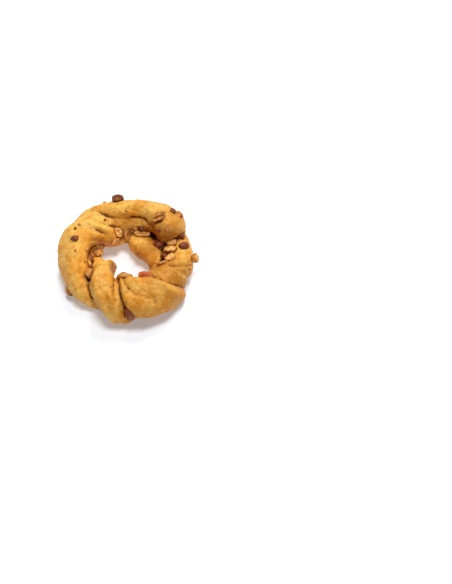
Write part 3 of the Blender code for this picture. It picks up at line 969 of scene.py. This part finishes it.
@dataclass
class AlmondCrumbs:
    """The small crumbs of almond that baked onto the crust."""

    spots: tuple[tuple[float, float, float, Roast], ...] = (
        (112, 44, 2.6, PALE), (158, 78, 2.2, TOASTED), (152, 84, 1.8, TOASTED), (300, 42, 2.4, TOASTED),
        (243, 22, 2.8, PALE), (348, 19, 2.2, TOASTED), (24, -4, 2.4, PALE), (222, -28, 2.8, TOASTED),
        (75, 176, 3.0, PALE), (82, 170, 2.4, TOASTED), (64, 172, 5.0, DARK), (55, 166, 4.0, TOASTED),
        (184, 141, 4.2, DARK), (175, 157, 2.8, TOASTED), (200, 112, 3.4, DARK), (121, 113, 2.0, DARK),
        (25.5, 129, 2.6, DARK), (200, 91, 1.3, DARK), (237, -16, 3.4, PALE), (91, 100, 1.8, TOASTED))
    count: int = 16
    seed: int = 11
    sizes: Span = (1.2 * MM, 2.0 * MM)
    rings: Span = (20, 380)
    angles: Span = (-25, 205)
    start: float = 30 * MM
    shape: tuple[float, float, float] = (1.0, 0.72, 0.55)
    dents: float = 2.6
    dent_depth: float = 0.45
    nicks: float = 7.0
    nick_depth: float = 0.14
    lift: float = 0.1
    skin_size: float = 2.0 * MM
    skin_range: Span = (0.1, 0.2)
    rim: float = 0.3

    def build(self, dough: bpy.types.Object, taken: list[tuple[Vector, float]]) -> list[bpy.types.Object]:
        """Build the crumbs on the dough's skin, the scattered ones clear of the almonds.

        Args:
            dough: The dough that they lie on.
            taken: Middle and reach of each almond.

        Returns:
            One object for each kind of roast.
        """
        tree = BVHTree.FromObject(dough, bpy.context.evaluated_depsgraph_get())
        draw = random.Random(self.seed)
        spots = [(ring, angle, size * MM, roast) for ring, angle, size, roast in self.spots]
        spots += [(draw.uniform(*self.rings), draw.uniform(*self.angles), draw.uniform(*self.sizes),
                   (PALE, TOASTED)[number % 2]) for number in range(self.count)]
        heaps = {PALE: bmesh.new(), TOASTED: bmesh.new(), DARK: bmesh.new()}
        for number, (ring, angle, size, roast) in enumerate(spots):
            start, _, way = ROPE.spot(ring, angle, self.start)
            place, normal, _, _ = tree.ray_cast(start, -way)
            turn = draw.uniform(0, math.pi)
            if place is None or place.z < 2 * size:
                continue
            near = any((place - spot).length < size + reach for spot, reach in taken)
            if near and number >= len(self.spots):
                continue
            taken.append((place, size))
            self.add_crumb(heaps[roast], place, normal, size, turn, number)
        return [self.finish(kind, bm) for kind, bm in heaps.items()]

    def add_crumb(self, bm: bmesh.types.BMesh, place: Vector, normal: Vector, size: float, turn: float,
                  seed: int) -> None:
        """Add one jagged crumb.

        Args:
            bm: The bmesh that takes it.
            place: Where it lies.
            normal: The crust's outward direction there.
            size: Its length.
            turn: Its turn about the normal, in radians.
            seed: The seed of its jagged shape.
        """
        verts = bmesh.ops.create_icosphere(bm, subdivisions=3, radius=0.5)["verts"]
        for vert in verts:
            dent = noise.noise(vert.co * self.dents + Vector((seed, 0, 0))) * self.dent_depth
            nick = noise.noise(vert.co * self.nicks + Vector((0, seed, 0))) * self.nick_depth
            vert.co = vert.co * (1 + dent + nick)
        bmesh.ops.scale(bm, vec=[size * share for share in self.shape], verts=verts)
        bmesh.ops.rotate(bm, matrix=Matrix.Rotation(turn, 3, "Z"), verts=verts)
        bmesh.ops.rotate(bm, matrix=normal.to_track_quat("Z", "Y").to_matrix(), verts=verts)
        bmesh.ops.translate(bm, vec=place + normal * size * self.lift, verts=verts)

    def finish(self, kind: Roast, bm: bmesh.types.BMesh) -> bpy.types.Object:
        """Turn one heap of crumbs into an object, with the values that its almond finish reads.

        Args:
            kind: The heap's roast.
            bm: The heap.

        Returns:
            The object.
        """
        heap = link_mesh(f"crumbs_{kind.value}", bm)
        points = read_points(heap.data)
        patches = smooth_step(*self.skin_range, field(points, self.skin_size))
        write_layer(heap.data, "kernel", points / MM)
        write_layer(heap.data, "skin", patches * (kind is Roast.DARK))
        write_layer(heap.data, "rim", np.full(len(points), self.rim))
        return heap


# ---------------------------------------- studio

@dataclass(frozen=True)
class SoftLight:
    """A distant soft box: where it hangs and how broad it looks, in degrees, and its strength."""

    azimuth: float
    elevation: float
    strength: float
    breadth: float

    def way(self) -> Vector:
        """Find the direction towards the light."""
        a, e = math.radians(self.azimuth), math.radians(self.elevation)
        return Vector((math.cos(e) * math.cos(a), math.cos(e) * math.sin(a), math.sin(e)))


LIGHTS = {"overhead": SoftLight(0, 85, 2.05, 20), "behind": SoftLight(70, 52, 1.65, 24)}


@dataclass
class Studio:
    """White paper, soft boxes overhead and behind, and the camera of the photo."""

    elevation: float = 54.0
    lens_mm: float = 60.0
    sensor_mm: float = 36.0
    clip_start: float = 0.01
    frame_px: tuple[int, int] = (452, 584)
    pixel: float = 0.57 * MM
    ring_px: Span = (126.3, 260.6)
    ring_middle: Vector = RING_SHIFT + UP * ROPE.height
    sky_strength: float = 0.10
    sky_seen: float = 1.0
    floor_reach: float = 12.0

    def floor(self) -> bpy.types.Object:
        """Lay the white paper."""
        bm = bmesh.new()
        bmesh.ops.create_grid(bm, x_segments=1, y_segments=1, size=self.floor_reach)
        paper = link_mesh("paper", bm)
        paper.data.materials.append(MattPaper().material())
        return paper

    def lights(self) -> None:
        """Set the broad light overhead, the lower one behind, and the room round them.

        The room gives little light, but the camera sees it as white as the paper.
        """
        room = bpy.data.worlds.new("white_room")
        room.use_nodes = True
        sky = room.node_tree.nodes["Background"]
        sky.inputs["Color"].default_value = (1, 1, 1, 1)
        seen = add_node(room.node_tree, "LightPath").outputs["Is Camera Ray"]
        strength = ramp(room.node_tree, seen, (0.0, 1.0), (self.sky_strength, self.sky_seen))
        room.node_tree.links.new(strength, sky.inputs["Strength"])
        bpy.context.scene.world = room
        for name, light in LIGHTS.items():
            lamp = bpy.data.lights.new(name, "SUN")
            lamp.energy = light.strength
            lamp.angle = math.radians(light.breadth)
            obj = bpy.data.objects.new(name, lamp)
            obj.rotation_euler = light.way().to_track_quat("Z", "Y").to_euler()
            bpy.context.scene.collection.objects.link(obj)

    def camera(self) -> None:
        """Set the camera so that the ring falls where it does in the photo."""
        tilt = math.radians(self.elevation)
        ahead = Vector((0, math.cos(tilt), -math.sin(tilt)))
        right, above = Vector((1, 0, 0)), Vector((0, math.sin(tilt), math.cos(tilt)))
        wide, high = self.frame_px
        distance = self.lens_mm / self.sensor_mm * high * self.pixel
        place = self.ring_middle - ahead * distance
        place -= right * (self.ring_px[0] - wide / 2) * self.pixel
        place -= above * (high / 2 - self.ring_px[1]) * self.pixel
        lens = bpy.data.cameras.new("camera")
        lens.lens = self.lens_mm
        lens.sensor_width = self.sensor_mm
        lens.clip_start = self.clip_start
        camera = bpy.data.objects.new("camera", lens)
        turned = Matrix((right, above, -ahead)).transposed().to_4x4()
        camera.matrix_world = Matrix.Translation(place) @ turned
        bpy.context.scene.collection.objects.link(camera)
        bpy.context.scene.camera = camera


def main() -> None:
    """Build the dough, its almonds, its crumbs and the studio, and report each piece."""
    logging.basicConfig(level=logging.INFO, format="%(message)s")
    studio = Studio()
    studio.camera()
    studio.lights()
    studio.floor()
    almond_finishes = {roast: finish.material() for roast, finish in ROASTS.items()}

    twist = TwistedDough()
    dough = twist.build()
    dough.data.materials.clear()
    dough.data.materials.append(BakedCrust().material())
    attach(dough, "root")
    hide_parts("dough")
    LOG.info("dough: %d vertices", len(dough.data.vertices))

    taken, almonds = [], []
    for seed, chip in enumerate(CHIPS):
        node = f"almond_{seed + 1:02d}"
        almond = ChoppedAlmond(chip, seed)
        piece = almond.build(f"chopped_{node}")
        piece.data.materials.clear()
        piece.data.materials.append(almond_finishes[chip.roast])
        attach(piece, "root")
        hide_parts(node)
        almonds.append(piece)
        taken.append((almond.turn().translation, chip.length * MM / 2))
        LOG.info("%s: %d vertices", node, len(piece.data.vertices))

    twist.shade_and_brown_hollows(dough, almonds)
    for heap in AlmondCrumbs().build(dough, taken):
        heap.data.materials.append(almond_finishes[Roast(heap.name.split("_")[1])])
        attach(heap, "root")
        LOG.info("%s: %d vertices", heap.name, len(heap.data.vertices))

    bpy.context.scene.view_settings.view_transform = "Standard"
    bpy.context.view_layer.update()


if __name__ == "__main__":
    main()
